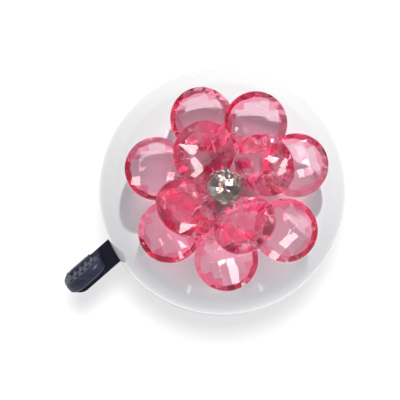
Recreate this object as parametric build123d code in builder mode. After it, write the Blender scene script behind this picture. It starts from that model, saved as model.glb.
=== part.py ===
from build123d import *
import os
from math import acos, atan2, cos, degrees, hypot, pi, radians, sin, sqrt, tan

# Bicycle handlebar bell with a faceted acrylic flower on its gong, in millimetres.
# The origin is the centre of the clamp's bore. The handlebar runs along X, the gong's axis is +Z,
# and the thumb lever leaves the bell on the -X -Y side.

os.makedirs("parts", exist_ok=True)

# --- Driving dimensions ---

# Gap round a pin, post or pad that is pressed, peened or glued in
FIT = 0.02

# Handlebar clamp
BAR_R = 11.1
SHIM_THICKNESS = 1.0
CLAMP_WALL = 2.0
CLAMP_WIDTH = 12.0
CLAMP_GAP = 1.4
EAR_THICKNESS = 3.0
EAR_REACH = 22.5
SCREW_Y = 18.2
SCREW_R = 2.0
SCREW_HOLE_R = 2.1
SADDLE_HALF_WIDTH = 10.0
RIVET_Y = 6.2
RIVET_R = 1.5

# Base plate
BASE_Z = 15.0
BASE_THICKNESS = 1.2
BASE_R = 26.5
BASE_WALL = 1.0
BASE_WALL_TOP = 18.9

# Gong
GONG_R = 29.7
GONG_WALL = 1.0
RIM_BEAD_R = 0.65
RIM_Z = 20.35
SKIRT_TOP_Z = 26.0
SHOULDER_R = 15.0
CROWN_CENTRE_Z = 1.0
CROWN_HOLE_R = 2.5
KNOB_R = 1.8
KNOB_REACH_R = 24.4
KNOB_Z = 25.8

# Lever
PIVOT = (-17.41, -6.11)
LEVER_ANGLE = 221.2
LEVER_Z = 16.6
LEVER_THICKNESS = 2.4
LEVER_WIDTH = 6.0
HUB_R = 4.2
PIVOT_PIN_R = 1.5
PAD_START = 15.6
PAD_END = 26.7
PAD_HEIGHT = 9.4
PAD_THICKNESS = 3.0
PAD_LEAN = 24.0
PAD_Z = 15.4

# Gear train: the lever's sector drives the idler, and the idler drives the rotor
PRESSURE_ANGLE = radians(25)
ADDENDUM = 0.8
DEDENDUM = 1.0
TOOTH_THINNING = 0.07
SECTOR_MODULE = 0.8
SECTOR_TEETH = 36
SECTOR_CUT_TEETH = 5
IDLER_PINION_TEETH = 9
WHEEL_MODULE = 0.7
WHEEL_TEETH = 28
ROTOR_TEETH = 10
IDLER_SHAFT_R = 1.5
RUNNING_CLEARANCE = 0.05
WHEEL_Z = 19.4
WHEEL_THICKNESS = 1.6

# Rotor and hammers
POST_R = 2.0
POST_TOP = 42.0
POST_FOOT_R = 2.9
POST_FOOT_TOP = 19.2
ROTOR_ANGLE = 40.0
ARM_Z = 22.8
ARM_THICKNESS = 1.2
ARM_WIDTH = 8.0
HAMMER_ORBIT_R = 18.5
HAMMER_R = 5.5
HAMMER_THICKNESS = 3.0
HAMMER_Z = 24.3
HAMMER_PIN_R = 1.6
HAMMER_HOLE_R = 2.4

# Return spring
SPRING_COIL_R = 3.0
SPRING_WIRE_R = 0.3
SPRING_FULL_TURNS = 2
SPRING_Z = 19.9
SPRING_PITCH = 0.66
SPRING_LEG_SPARE = 0.1
SPRING_POST_DISTANCE = 8.0
SPRING_POST_R = 0.9
LUG_DISTANCE = 6.8
LUG_R = 1.0
LUG_TOP = 22.2

# Flower
DISC_R = 12.6
DISC_Z = 45.5
DISC_THICKNESS = 0.9
GLUE_R = 8.0
PETAL_R = 7.2
PETAL_RIM = 0.6
PETAL_BULGE = 1.4
PETAL_CELL = 2.0
PETAL_RIM_SIDES = 32
PETAL_HOLE_R = 0.7
PETAL_HOLE_OFFSET = 5.4
TIE_WIRE_R = 0.25
STONE_R = 4.15
STONE_LOBES = 8
STONE_Z = 52.3
STONE_AT = (0.1, -0.4)

# Each petal: angle about the bell's axis, distance from it, height of its centre, tilt of its
# outer end upwards, roll of its anticlockwise side upwards, and turn of its facets.
OUTER_PETALS = [
    (108.0, 16.0, 48.4, 1.0, 9.0, 6.0),
    (63.0, 15.9, 48.7, 1.0, 10.0, 28.0),
    (16.0, 17.0, 48.8, 2.0, 8.0, 2.0),
    (-35.5, 17.1, 48.4, 2.0, 5.0, -8.0),
    (-88.0, 16.4, 48.3, 0.0, 6.0, 12.0),
    (-140.0, 15.8, 48.5, 1.0, 8.0, -20.0),
    (165.5, 15.6, 48.6, 2.0, 6.0, 15.0),
]
INNER_PETALS = [
    (122.0, 8.5, 52.3, 22.0, 9.0, 10.0),
    (26.0, 10.0, 53.2, 34.0, 6.0, -12.0),
    (-63.0, 10.0, 53.2, 35.0, 6.0, 20.0),
    (-148.0, 9.9, 53.2, 33.0, 10.0, 0.0),
]

# --- Worked-out dimensions ---

SHIM_BORE_R = BAR_R + 0.05
SHIM_R = SHIM_BORE_R + SHIM_THICKNESS
CLAMP_BORE_R = SHIM_R + FIT
CLAMP_R = CLAMP_BORE_R + CLAMP_WALL
BASE_TOP = BASE_Z + BASE_THICKNESS
LEVER_TOP = LEVER_Z + LEVER_THICKNESS
SHOULDER_X = GONG_R - SHOULDER_R
CROWN_TO_SHOULDER = hypot(SHOULDER_X, SKIRT_TOP_Z - CROWN_CENTRE_Z)
CROWN_R = SHOULDER_R + CROWN_TO_SHOULDER
SHOULDER_ANGLE = degrees(atan2(SKIRT_TOP_Z - CROWN_CENTRE_Z, SHOULDER_X))
CROWN_INNER_R = CROWN_R - GONG_WALL
SECTOR_R = SECTOR_MODULE * SECTOR_TEETH / 2
IDLER_PINION_R = SECTOR_MODULE * IDLER_PINION_TEETH / 2
WHEEL_R = WHEEL_MODULE * WHEEL_TEETH / 2
ROTOR_R = WHEEL_MODULE * ROTOR_TEETH / 2


def polar(distance, angle, centre=(0, 0)):
    """A point at a distance and an angle in degrees from a centre."""
    return (centre[0] + distance * cos(radians(angle)), centre[1] + distance * sin(radians(angle)))


def sphere_height(radius, distance):
    """Height of a crown sphere's surface at a distance from the bell's axis."""
    return CROWN_CENTRE_Z + sqrt(radius**2 - distance**2)


# The idler's axis is one centre distance from the pivot and one from the bell's axis.
PIVOT_TO_IDLER = SECTOR_R + IDLER_PINION_R
IDLER_TO_POST = WHEEL_R + ROTOR_R
PIVOT_R = hypot(*PIVOT)
PIVOT_ANGLE = degrees(atan2(PIVOT[1], PIVOT[0]))
IDLER_OFFSET = degrees(
    acos((PIVOT_R**2 + IDLER_TO_POST**2 - PIVOT_TO_IDLER**2) / (2 * PIVOT_R * IDLER_TO_POST))
)
IDLER = polar(IDLER_TO_POST, PIVOT_ANGLE - IDLER_OFFSET)
MESH_1_ANGLE = degrees(atan2(IDLER[1] - PIVOT[1], IDLER[0] - PIVOT[0]))
MESH_2_ANGLE = degrees(atan2(-IDLER[1], -IDLER[0]))


# --- Gears ---


def involute(angle):
    return tan(angle) - angle


def tooth(module, teeth):
    """One tooth that points along +X, from just inside the root circle to the tip."""
    pitch_r = module * teeth / 2
    base_r = pitch_r * cos(PRESSURE_ANGLE)
    root_r = pitch_r - DEDENDUM * module
    tip_r = pitch_r + ADDENDUM * module
    start_r = max(base_r, root_r)
    pitch_half_angle = pi / (2 * teeth) - TOOTH_THINNING / (2 * pitch_r)

    def flank(radius, side, at_radius=None):
        half_angle = pitch_half_angle + involute(PRESSURE_ANGLE) - involute(acos(base_r / radius))
        reach = at_radius or radius
        return (reach * cos(half_angle), side * reach * sin(half_angle))

    foot_r = root_r - 0.3 * module
    middle_r = (start_r + tip_r) / 2
    with BuildSketch() as outline:
        with BuildLine():
            Line(flank(start_r, -1, foot_r), flank(start_r, -1))
            ThreePointArc(flank(start_r, -1), flank(middle_r, -1), flank(tip_r, -1))
            Line(flank(tip_r, -1), flank(tip_r, 1))
            ThreePointArc(flank(tip_r, 1), flank(middle_r, 1), flank(start_r, 1))
            Line(flank(start_r, 1), flank(start_r, 1, foot_r))
            Line(flank(start_r, 1, foot_r), flank(start_r, -1, foot_r))
        make_face()
    return outline.sketch


def gear(module, teeth, first_tooth):
    """A whole gear's outline, with one tooth centred on the first_tooth angle."""
    with BuildSketch() as outline:
        Circle(module * teeth / 2 - DEDENDUM * module)
        with PolarLocations(0, teeth, start_angle=first_tooth):
            add(tooth(module, teeth))
    return outline.sketch


# At rest the sector has a space, and the idler pinion a tooth, on the line between their axes.
SECTOR_PITCH = 360 / SECTOR_TEETH
SECTOR_LAST_TOOTH = MESH_1_ANGLE + SECTOR_PITCH / 2
SECTOR_FIRST_TOOTH = SECTOR_LAST_TOOTH - (SECTOR_CUT_TEETH - 1) * SECTOR_PITCH
IDLER_FIRST_TOOTH = MESH_1_ANGLE + 180
# The wheel has a tooth, and the rotor pinion a space, on the line between their axes.
WHEEL_FIRST_TOOTH = MESH_2_ANGLE
ROTOR_FIRST_TOOTH = MESH_2_ANGLE + 180 + 180 / ROTOR_TEETH

# --- Handlebar clamp ---

CLAMP_PLANE = Plane.YZ.offset(-CLAMP_WIDTH / 2)
EAR_CENTRE_Y = (CLAMP_BORE_R + EAR_REACH) / 2
EAR_LENGTH = EAR_REACH - CLAMP_BORE_R
EAR_MIDDLE_Z = (CLAMP_GAP + EAR_THICKNESS) / 2
BORE_CLEAR_Z = 12.4
HEAD_POCKET_R = 2.6
HEAD_R = 2.45
HEAD_THICKNESS = 1.0

with BuildPart() as clamp_upper:
    with BuildSketch(CLAMP_PLANE):
        Circle(CLAMP_R)
        with Locations((0, BASE_Z / 2)):
            Rectangle(2 * SADDLE_HALF_WIDTH, BASE_Z)
        with Locations((EAR_CENTRE_Y, EAR_MIDDLE_Z), (-EAR_CENTRE_Y, EAR_MIDDLE_Z)):
            Rectangle(EAR_LENGTH, EAR_THICKNESS)
        Circle(CLAMP_BORE_R, mode=Mode.SUBTRACT)
        with Locations((0, CLAMP_GAP / 2 - CLAMP_R)):
            Rectangle(4 * CLAMP_R, 2 * CLAMP_R, mode=Mode.SUBTRACT)
    extrude(amount=CLAMP_WIDTH)
    fillet(clamp_upper.edges().filter_by(Axis.Z).group_by(Axis.Y)[0], 3.0)
    fillet(clamp_upper.edges().filter_by(Axis.Z).group_by(Axis.Y)[-1], 3.0)
    with BuildSketch(Plane.XY):
        with Locations((0, SCREW_Y), (0, -SCREW_Y)):
            Circle(SCREW_HOLE_R)
        with Locations((0, RIVET_Y), (0, 0), (0, -RIVET_Y)):
            Circle(RIVET_R + FIT)
    extrude(amount=BASE_Z, mode=Mode.SUBTRACT)
    with BuildSketch(Plane.XY.offset(BASE_Z / 2)):
        with Locations((0, RIVET_Y), (0, 0), (0, -RIVET_Y)):
            Circle(HEAD_POCKET_R)
    extrude(amount=BORE_CLEAR_Z + HEAD_THICKNESS - BASE_Z / 2, mode=Mode.SUBTRACT)
clamp_upper.part.label = "clamp_upper"
export_step(clamp_upper.part, "parts/clamp_upper.step")

with BuildPart() as clamp_lower:
    with BuildSketch(CLAMP_PLANE):
        Circle(CLAMP_R)
        with Locations((EAR_CENTRE_Y, -EAR_MIDDLE_Z), (-EAR_CENTRE_Y, -EAR_MIDDLE_Z)):
            Rectangle(EAR_LENGTH, EAR_THICKNESS)
        Circle(CLAMP_BORE_R, mode=Mode.SUBTRACT)
        with Locations((0, CLAMP_R - CLAMP_GAP / 2)):
            Rectangle(4 * CLAMP_R, 2 * CLAMP_R, mode=Mode.SUBTRACT)
    extrude(amount=CLAMP_WIDTH)
    fillet(clamp_lower.edges().filter_by(Axis.Z).group_by(Axis.Y)[0], 3.0)
    fillet(clamp_lower.edges().filter_by(Axis.Z).group_by(Axis.Y)[-1], 3.0)
    with BuildSketch(Plane.XY):
        with Locations((0, SCREW_Y), (0, -SCREW_Y)):
            Circle(SCREW_HOLE_R)
    extrude(amount=-BASE_Z, mode=Mode.SUBTRACT)
clamp_lower.part.label = "clamp_lower"
export_step(clamp_lower.part, "parts/clamp_lower.step")

# The shim is a strip of rubber, bent round the bar, whose ends leave a gap at the clamp's joint.
with BuildPart() as rubber_shim:
    with BuildSketch(CLAMP_PLANE):
        Circle(SHIM_R)
        Circle(SHIM_BORE_R, mode=Mode.SUBTRACT)
        with Locations((SHIM_R, 0)):
            Rectangle(SHIM_R, CLAMP_GAP, mode=Mode.SUBTRACT)
    extrude(amount=CLAMP_WIDTH)
rubber_shim.part.label = "rubber_shim"
export_step(rubber_shim.part, "parts/rubber_shim.step")

# The clamp's screws go in from below, with their nuts on the upper ears.
EAR_TOP = CLAMP_GAP / 2 + EAR_THICKNESS
SCREW_HEAD_R = 3.6
SCREW_HEAD_HEIGHT = 2.6
NUT_HEIGHT = 3.2
with BuildPart() as clamp_screws:
    with BuildSketch(Plane.XY.offset(-EAR_TOP - SCREW_HEAD_HEIGHT)):
        with Locations((0, SCREW_Y), (0, -SCREW_Y)):
            Circle(SCREW_HEAD_R)
    extrude(amount=SCREW_HEAD_HEIGHT)
    fillet(clamp_screws.edges().group_by(Axis.Z)[0], 0.9)
    with BuildSketch(Plane.XY.offset(-EAR_TOP - 0.1)):
        with Locations((0, SCREW_Y), (0, -SCREW_Y)):
            Circle(SCREW_R)
    extrude(amount=2 * EAR_TOP + NUT_HEIGHT + 1.3)
    chamfer(clamp_screws.edges().group_by(Axis.Z)[-1], 0.4)
    with BuildSketch(Plane.XY.offset(-EAR_TOP - SCREW_HEAD_HEIGHT)):
        with Locations((0, SCREW_Y), (0, -SCREW_Y)):
            RegularPolygon(1.7, 6)
    extrude(amount=1.6, mode=Mode.SUBTRACT)
clamp_screws.part.label = "clamp_screws"
export_step(clamp_screws.part, "parts/clamp_screws.step")

with BuildPart() as clamp_nuts:
    with BuildSketch(Plane.XY.offset(EAR_TOP)):
        with Locations((0, SCREW_Y), (0, -SCREW_Y)):
            RegularPolygon(4.04, 6)
            Circle(SCREW_R + FIT, mode=Mode.SUBTRACT)
    extrude(amount=NUT_HEIGHT)
clamp_nuts.part.label = "clamp_nuts"
export_step(clamp_nuts.part, "parts/clamp_nuts.step")

with BuildPart() as saddle_rivets:
    with BuildSketch(Plane.XY.offset(BORE_CLEAR_Z)):
        with Locations((0, RIVET_Y), (0, -RIVET_Y)):
            Circle(HEAD_R)
    extrude(amount=HEAD_THICKNESS)
    with BuildSketch(Plane.XY.offset(BORE_CLEAR_Z)):
        with Locations((0, RIVET_Y), (0, -RIVET_Y)):
            Circle(RIVET_R)
    extrude(amount=BASE_TOP - BORE_CLEAR_Z + 0.1)
    with BuildSketch(Plane.XY.offset(BASE_TOP)):
        with Locations((0, RIVET_Y), (0, -RIVET_Y)):
            Circle(HEAD_POCKET_R)
    extrude(amount=1.1)
    fillet(saddle_rivets.edges().group_by(Axis.Z)[-1], 0.8)
saddle_rivets.part.label = "saddle_rivets"
export_step(saddle_rivets.part, "parts/saddle_rivets.step")

# --- Base plate, and what is riveted into it ---

# The spring's fixed leg leaves the coil at angle 0 and lies against the spring post.
FIXED_LEG_OFFSET = SPRING_COIL_R + SPRING_WIRE_R + SPRING_POST_R + 0.05
SPRING_POST_ANGLE = -degrees(acos(FIXED_LEG_OFFSET / SPRING_POST_DISTANCE))
SPRING_POST = polar(SPRING_POST_DISTANCE, SPRING_POST_ANGLE, PIVOT)
# The lever leaves through a notch in the turned-up wall. Its arm rests by the first edge.
NOTCH_START = 197.5
NOTCH_END = 229.0

with BuildPart() as base_plate:
    with BuildSketch(Plane.XZ):
        with BuildLine():
            Polyline(
                (RIVET_R + FIT, BASE_Z),
                (BASE_R, BASE_Z),
                (BASE_R, BASE_WALL_TOP),
                (BASE_R - BASE_WALL, BASE_WALL_TOP),
                (BASE_R - BASE_WALL, BASE_TOP),
                (RIVET_R + FIT, BASE_TOP),
                close=True,
            )
        make_face()
    revolve(axis=Axis.Z)
    fillet(base_plate.edges().group_by(Axis.Z)[0].sort_by(SortBy.LENGTH)[-1], 1.2)
    with BuildSketch(Plane.XY.offset(BASE_TOP)):
        with BuildLine():
            Polyline(
                (0, 0),
                polar(2 * BASE_R, NOTCH_START),
                polar(2 * BASE_R, NOTCH_END),
                close=True,
            )
        make_face()
    extrude(amount=BASE_WALL_TOP, mode=Mode.SUBTRACT)
    with BuildSketch(Plane.XY.offset(BASE_Z)):
        with Locations((0, RIVET_Y), (0, -RIVET_Y)):
            Circle(RIVET_R + FIT)
        with Locations(PIVOT):
            Circle(PIVOT_PIN_R + FIT)
        with Locations(IDLER):
            Circle(IDLER_SHAFT_R + FIT)
        with Locations(SPRING_POST):
            Circle(SPRING_POST_R + FIT)
    extrude(amount=BASE_THICKNESS, mode=Mode.SUBTRACT)
base_plate.part.label = "base_plate"
export_step(base_plate.part, "parts/base_plate.step")

CLIP_GROOVE_DEPTH = 0.4
ROTOR_CLIP_Z = 24.7
CLIP_THICKNESS = 0.6

with BuildPart() as centre_post:
    with BuildSketch(Plane.XZ):
        with BuildLine():
            Polyline(
                (0, BORE_CLEAR_Z),
                (HEAD_R, BORE_CLEAR_Z),
                (HEAD_R, BORE_CLEAR_Z + HEAD_THICKNESS),
                (RIVET_R, BORE_CLEAR_Z + HEAD_THICKNESS),
                (RIVET_R, BASE_TOP),
                (POST_FOOT_R, BASE_TOP),
                (POST_FOOT_R, POST_FOOT_TOP),
                (POST_R, POST_FOOT_TOP),
                (POST_R, ROTOR_CLIP_Z),
                (POST_R - CLIP_GROOVE_DEPTH, ROTOR_CLIP_Z),
                (POST_R - CLIP_GROOVE_DEPTH, ROTOR_CLIP_Z + CLIP_THICKNESS),
                (POST_R, ROTOR_CLIP_Z + CLIP_THICKNESS),
                (POST_R, POST_TOP - 0.5),
                (POST_R - 0.5, POST_TOP),
                (0, POST_TOP),
                close=True,
            )
        make_face()
    revolve(axis=Axis.Z)
centre_post.part.label = "centre_post"
export_step(centre_post.part, "parts/centre_post.step")


TAIL_OVERHANG = 0.9
TAIL_THICKNESS = 0.8
PIN_HEAD_THICKNESS = 0.5


def riveted_pin(centre, radius, top, head_r, groove_z=None):
    """A pin riveted into the base plate, with either a retaining head or a clip groove on top."""
    tail_r = radius + TAIL_OVERHANG
    with BuildPart() as pin:
        with BuildSketch(Plane((*centre, BASE_Z - TAIL_THICKNESS))):
            Circle(tail_r)
        extrude(amount=TAIL_THICKNESS)
        with BuildSketch(Plane((*centre, BASE_Z - TAIL_THICKNESS))):
            Circle(radius)
        extrude(amount=top - BASE_Z + TAIL_THICKNESS)
        if groove_z:
            with BuildSketch(Plane((*centre, groove_z))):
                Circle(radius)
                Circle(radius - CLIP_GROOVE_DEPTH, mode=Mode.SUBTRACT)
            extrude(amount=CLIP_THICKNESS, mode=Mode.SUBTRACT)
        else:
            with BuildSketch(Plane((*centre, top - PIN_HEAD_THICKNESS))):
                Circle(head_r)
            extrude(amount=PIN_HEAD_THICKNESS)
    return pin


PIVOT_PIN_TOP = 22.2
lever_pivot_pin = riveted_pin(PIVOT, PIVOT_PIN_R, PIVOT_PIN_TOP, 2.5)
lever_pivot_pin.part.label = "lever_pivot_pin"
export_step(lever_pivot_pin.part, "parts/lever_pivot_pin.step")

IDLER_CLIP_Z = WHEEL_Z + WHEEL_THICKNESS + 0.15
idler_shaft = riveted_pin(IDLER, IDLER_SHAFT_R, 22.3, 0, groove_z=IDLER_CLIP_Z)
idler_shaft.part.label = "idler_shaft"
export_step(idler_shaft.part, "parts/idler_shaft.step")

spring_post = riveted_pin(SPRING_POST, SPRING_POST_R, 21.8, 1.4)
spring_post.part.label = "spring_post"
export_step(spring_post.part, "parts/spring_post.step")


def retaining_clip(centre, z, groove_r, outer_r):
    """A spring clip: a ring that opens on one side, so that it snaps into a groove."""
    with BuildPart() as clip:
        with BuildSketch(Plane((*centre, z))):
            Circle(outer_r)
            Circle(groove_r + FIT, mode=Mode.SUBTRACT)
            with Locations((outer_r, 0)):
                Rectangle(2 * outer_r, 1.5 * groove_r, mode=Mode.SUBTRACT)
        extrude(amount=CLIP_THICKNESS)
    return clip


idler_clip = retaining_clip(IDLER, IDLER_CLIP_Z, IDLER_SHAFT_R - CLIP_GROOVE_DEPTH, 2.9)
idler_clip.part.label = "idler_clip"
export_step(idler_clip.part, "parts/idler_clip.step")

rotor_clip = retaining_clip((0, 0), ROTOR_CLIP_Z, POST_R - CLIP_GROOVE_DEPTH, 3.7)
rotor_clip.part.label = "rotor_clip"
export_step(rotor_clip.part, "parts/rotor_clip.step")

with BuildPart() as rotor_washer:
    with BuildSketch(Plane.XY.offset(ROTOR_CLIP_Z - 0.45)):
        Circle(4.0)
        Circle(POST_R + RUNNING_CLEARANCE, mode=Mode.SUBTRACT)
    extrude(amount=0.4)
rotor_washer.part.label = "rotor_washer"
export_step(rotor_washer.part, "parts/rotor_washer.step")

# --- Lever: hub, toothed sector, arm and thumb pad in one moulding ---

LEVER_DIRECTION = Vector(cos(radians(LEVER_ANGLE)), sin(radians(LEVER_ANGLE)), 0)
PAD_OUTWARD = Vector(sin(radians(LEVER_ANGLE)), -cos(radians(LEVER_ANGLE)), 0)
PAD_MIDDLE = (PAD_START + PAD_END) / 2
PAD_OFFSET = LEVER_WIDTH / 2 + 1.0
ARM_LENGTH = PAD_END - LEVER_WIDTH / 2 - 0.4
PAD_ORIGIN = (
    Vector(*PIVOT, PAD_Z) + LEVER_DIRECTION * PAD_MIDDLE + PAD_OUTWARD * PAD_OFFSET
)
PAD_NORMAL = PAD_OUTWARD * cos(radians(PAD_LEAN)) + Vector(0, 0, sin(radians(PAD_LEAN)))
PAD_PLANE = Plane(origin=PAD_ORIGIN, x_dir=LEVER_DIRECTION, z_dir=PAD_NORMAL)
PAD_LENGTH = PAD_END - PAD_START
RIB_COUNT = 5
RIB_SPACING = 1.7

with BuildPart() as thumb_pad:
    with BuildSketch(PAD_PLANE):
        with Locations((0, PAD_HEIGHT / 2)):
            RectangleRounded(PAD_LENGTH, PAD_HEIGHT, 3.6)
    extrude(amount=-PAD_THICKNESS)
    fillet(thumb_pad.faces().sort_by(Axis(PAD_ORIGIN, PAD_NORMAL))[-1].edges(), 1.4)
    fillet(thumb_pad.faces().sort_by(Axis(PAD_ORIGIN, PAD_NORMAL))[0].edges(), 0.8)
    with BuildSketch(PAD_PLANE.offset(-0.3)):
        with Locations((0, PAD_HEIGHT / 2)):
            with GridLocations(RIB_SPACING, 1, RIB_COUNT, 1):
                SlotOverall(PAD_HEIGHT - 4.0, 0.7, rotation=90)
    extrude(amount=0.6)

SECTOR_ROOT_R = SECTOR_R - DEDENDUM * SECTOR_MODULE
SECTOR_EDGE_1 = SECTOR_FIRST_TOOTH - 0.55 * SECTOR_PITCH
SECTOR_EDGE_2 = SECTOR_LAST_TOOTH + 0.55 * SECTOR_PITCH
LUG = polar(LUG_DISTANCE, LEVER_ANGLE, PIVOT)

with BuildPart() as lever:
    with BuildSketch(Plane((*PIVOT, LEVER_Z))):
        Circle(HUB_R)
        with BuildLine():
            Line((0, 0), polar(SECTOR_ROOT_R, SECTOR_EDGE_1))
            CenterArc((0, 0), SECTOR_ROOT_R, SECTOR_EDGE_1, SECTOR_EDGE_2 - SECTOR_EDGE_1)
            Line(polar(SECTOR_ROOT_R, SECTOR_EDGE_2), (0, 0))
        make_face()
        with PolarLocations(
            0,
            SECTOR_CUT_TEETH,
            start_angle=SECTOR_FIRST_TOOTH,
            angular_range=(SECTOR_CUT_TEETH - 1) * SECTOR_PITCH,
            endpoint=True,
        ):
            add(tooth(SECTOR_MODULE, SECTOR_TEETH))
        with Locations(polar(ARM_LENGTH / 2, LEVER_ANGLE)):
            Rectangle(ARM_LENGTH, LEVER_WIDTH, rotation=LEVER_ANGLE)
        with Locations(polar(ARM_LENGTH, LEVER_ANGLE)):
            Circle(LEVER_WIDTH / 2)
    extrude(amount=LEVER_THICKNESS)
    add(thumb_pad.part)
    with BuildSketch(Plane((*LUG, LEVER_TOP - 0.1))):
        Circle(LUG_R)
    extrude(amount=LUG_TOP - LEVER_TOP + 0.1)
    with BuildSketch(Plane((*PIVOT, LEVER_Z))):
        Circle(PIVOT_PIN_R + RUNNING_CLEARANCE)
    extrude(amount=2 * LEVER_THICKNESS, mode=Mode.SUBTRACT)
lever.part.label = "lever"
export_step(lever.part, "parts/lever.step")

# --- Return spring: a torsion coil round the pivot pin, with one leg against the spring post and
# the other against the lever's lug ---

MOVING_LEG_OFFSET = SPRING_COIL_R + SPRING_WIRE_R + LUG_R + 0.05
COIL_END_ANGLE = LEVER_ANGLE - degrees(acos(MOVING_LEG_OFFSET / LUG_DISTANCE))
COIL_TURNS = SPRING_FULL_TURNS + COIL_END_ANGLE / 360

with BuildPart() as return_spring:
    with BuildLine() as spring_path:
        coil = Helix(SPRING_PITCH, COIL_TURNS * SPRING_PITCH, SPRING_COIL_R, center=(*PIVOT, SPRING_Z))
        Line(coil @ 0 - (coil % 0) * (SPRING_POST_DISTANCE - SPRING_LEG_SPARE), coil @ 0)
        Line(coil @ 1, coil @ 1 + (coil % 1) * (LUG_DISTANCE - SPRING_LEG_SPARE))
    with BuildSketch(Plane(origin=spring_path.line @ 0, z_dir=spring_path.line % 0)):
        Circle(SPRING_WIRE_R)
    sweep(path=spring_path.line, is_frenet=True)
return_spring.part.label = "return_spring"
export_step(return_spring.part, "parts/return_spring.step")

# --- Idler and rotor ---

IDLER_PINION_Z = BASE_TOP + 0.2
with BuildPart() as idler_gear:
    with BuildSketch(Plane((*IDLER, IDLER_PINION_Z))):
        add(gear(SECTOR_MODULE, IDLER_PINION_TEETH, IDLER_FIRST_TOOTH))
    extrude(amount=WHEEL_Z - IDLER_PINION_Z)
    with BuildSketch(Plane((*IDLER, WHEEL_Z))):
        add(gear(WHEEL_MODULE, WHEEL_TEETH, WHEEL_FIRST_TOOTH))
        with PolarLocations(6.0, 5):
            Circle(1.5, mode=Mode.SUBTRACT)
    extrude(amount=WHEEL_THICKNESS)
    with BuildSketch(Plane((*IDLER, IDLER_PINION_Z))):
        Circle(IDLER_SHAFT_R + RUNNING_CLEARANCE)
    extrude(amount=2 * WHEEL_Z, mode=Mode.SUBTRACT)
idler_gear.part.label = "idler_gear"
export_step(idler_gear.part, "parts/idler_gear.step")

# The rotor pinion stands on the post's foot. Its spigot goes through the arm and is peened over.
SPIGOT_R = 2.7
PINION_BOTTOM = POST_FOOT_TOP + 0.1
with BuildPart() as rotor_pinion:
    with BuildSketch(Plane.XY.offset(PINION_BOTTOM)):
        add(gear(WHEEL_MODULE, ROTOR_TEETH, ROTOR_FIRST_TOOTH))
    extrude(amount=ARM_Z - PINION_BOTTOM)
    with BuildSketch(Plane.XY.offset(ARM_Z)):
        Circle(SPIGOT_R)
    extrude(amount=ARM_THICKNESS + 0.1)
    with BuildSketch(Plane.XY.offset(PINION_BOTTOM)):
        Circle(POST_R + RUNNING_CLEARANCE)
    extrude(amount=2 * ARM_Z, mode=Mode.SUBTRACT)
rotor_pinion.part.label = "rotor_pinion"
export_step(rotor_pinion.part, "parts/rotor_pinion.step")

HAMMER_CENTRES = [polar(HAMMER_ORBIT_R, ROTOR_ANGLE), polar(HAMMER_ORBIT_R, ROTOR_ANGLE + 180)]

with BuildPart() as rotor_arm:
    with BuildSketch(Plane.XY.offset(ARM_Z)):
        SlotOverall(2 * HAMMER_ORBIT_R + ARM_WIDTH, ARM_WIDTH, rotation=ROTOR_ANGLE)
        Circle(ARM_WIDTH * 0.72)
        Circle(SPIGOT_R + FIT, mode=Mode.SUBTRACT)
        with Locations(*HAMMER_CENTRES):
            Circle(HAMMER_PIN_R + FIT, mode=Mode.SUBTRACT)
    extrude(amount=ARM_THICKNESS)
rotor_arm.part.label = "rotor_arm"
export_step(rotor_arm.part, "parts/rotor_arm.step")

HAMMER_TOP = HAMMER_Z + HAMMER_THICKNESS
with BuildPart() as hammer_pins:
    with BuildSketch(Plane.XY.offset(ARM_Z - 0.5)):
        with Locations(*HAMMER_CENTRES):
            Circle(HAMMER_PIN_R + 0.7)
    extrude(amount=0.5)
    with BuildSketch(Plane.XY.offset(ARM_Z)):
        with Locations(*HAMMER_CENTRES):
            Circle(HAMMER_PIN_R)
    extrude(amount=HAMMER_TOP + 0.4 - ARM_Z)
    with BuildSketch(Plane.XY.offset(HAMMER_TOP + 0.3)):
        with Locations(*HAMMER_CENTRES):
            Circle(HAMMER_HOLE_R + 0.9)
    extrude(amount=0.6)
hammer_pins.part.label = "hammer_pins"
export_step(hammer_pins.part, "parts/hammer_pins.step")

# The hammers are loose washers. When the arm spins they fly out by their play and hit the knobs.
for name, centre in zip(("hammer_a", "hammer_b"), HAMMER_CENTRES):
    with BuildPart() as hammer:
        with BuildSketch(Plane((*centre, HAMMER_Z))):
            Circle(HAMMER_R)
            Circle(HAMMER_HOLE_R, mode=Mode.SUBTRACT)
        extrude(amount=HAMMER_THICKNESS)
        chamfer(hammer.edges().filter_by(GeomType.CIRCLE).sort_by(SortBy.RADIUS)[-2:], 0.4)
    hammer.part.label = name
    export_step(hammer.part, f"parts/{name}.step")

# --- Gong ---

CROWN_CENTRE = (0, CROWN_CENTRE_Z)
SHOULDER_CENTRE = (SHOULDER_X, SKIRT_TOP_Z)


def crown_arc(radius, hole_r):
    """From the shoulder's tangent point up to the hole in the crown."""
    end_angle = degrees(acos(hole_r / radius))
    return CenterArc(CROWN_CENTRE, radius, SHOULDER_ANGLE, end_angle - SHOULDER_ANGLE)


with BuildPart() as gong:
    with BuildSketch(Plane.XZ):
        with BuildLine():
            outer_crown = crown_arc(CROWN_R, CROWN_HOLE_R)
            outer_shoulder = CenterArc(SHOULDER_CENTRE, SHOULDER_R, 0, SHOULDER_ANGLE)
            outer_skirt = Line(outer_shoulder @ 0, (GONG_R, RIM_Z))
            rim = Line(outer_skirt @ 1, (GONG_R - GONG_WALL, RIM_Z))
            inner_skirt = Line(rim @ 1, (GONG_R - GONG_WALL, SKIRT_TOP_Z))
            CenterArc(SHOULDER_CENTRE, SHOULDER_R - GONG_WALL, 0, SHOULDER_ANGLE)
            inner_crown = crown_arc(CROWN_INNER_R, CROWN_HOLE_R)
            Line(inner_crown @ 1, outer_crown @ 1)
        make_face()
        with Locations((GONG_R - GONG_WALL + RIM_BEAD_R, RIM_Z)):
            Circle(RIM_BEAD_R)
    revolve(axis=Axis.Z)
gong.part.label = "gong"
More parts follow.
